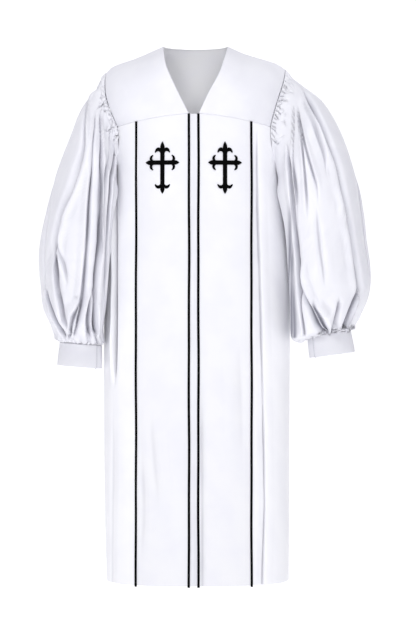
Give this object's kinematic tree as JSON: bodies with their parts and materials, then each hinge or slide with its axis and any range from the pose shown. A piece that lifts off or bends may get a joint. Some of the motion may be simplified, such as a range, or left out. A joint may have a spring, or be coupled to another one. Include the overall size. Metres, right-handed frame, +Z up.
{
  "type": "pulpit robe",
  "caption": "Full-length worn-form pulpit robe with a yoke, V neck, piped front panels, a cross on each panel and full gathered sleeves with cuffs; cloth shell, open throughout.",
  "frame": {"origin": "midway between the two shoulders, level with the neck points, where the wearer's shoulders hold the robe up", "axes": "+X to the right of someone facing the front of the robe, -Y the front, +Z up"},
  "size_m": [0.8028, 0.358, 1.3034],
  "materials": {
    "satin": "white polyester satin-weave robe cloth, soft sheen",
    "panel": "white polyester satin-weave robe cloth, pressed flat over an interlining",
    "piping": "black satin piping",
    "embroidery": "black satin-stitch thread"
  },
  "bodies": {
    "root": {"yoke_back": "satin", "back": "satin", "centre_band": "satin", "yoke_front_left": "satin", "yoke_front_right": "satin", "front_panel_left": "panel", "front_panel_right": "panel", "side_front_left": "satin", "side_front_right": "satin", "sleeve_left": "satin", "sleeve_right": "satin", "cuff_left": "satin", "cuff_right": "satin", "piping_inner_left": "piping", "piping_inner_right": "piping", "piping_outer_left": "piping", "piping_outer_right": "piping", "cross_left": "embroidery", "cross_right": "embroidery"}
  },
  "joints": []
}
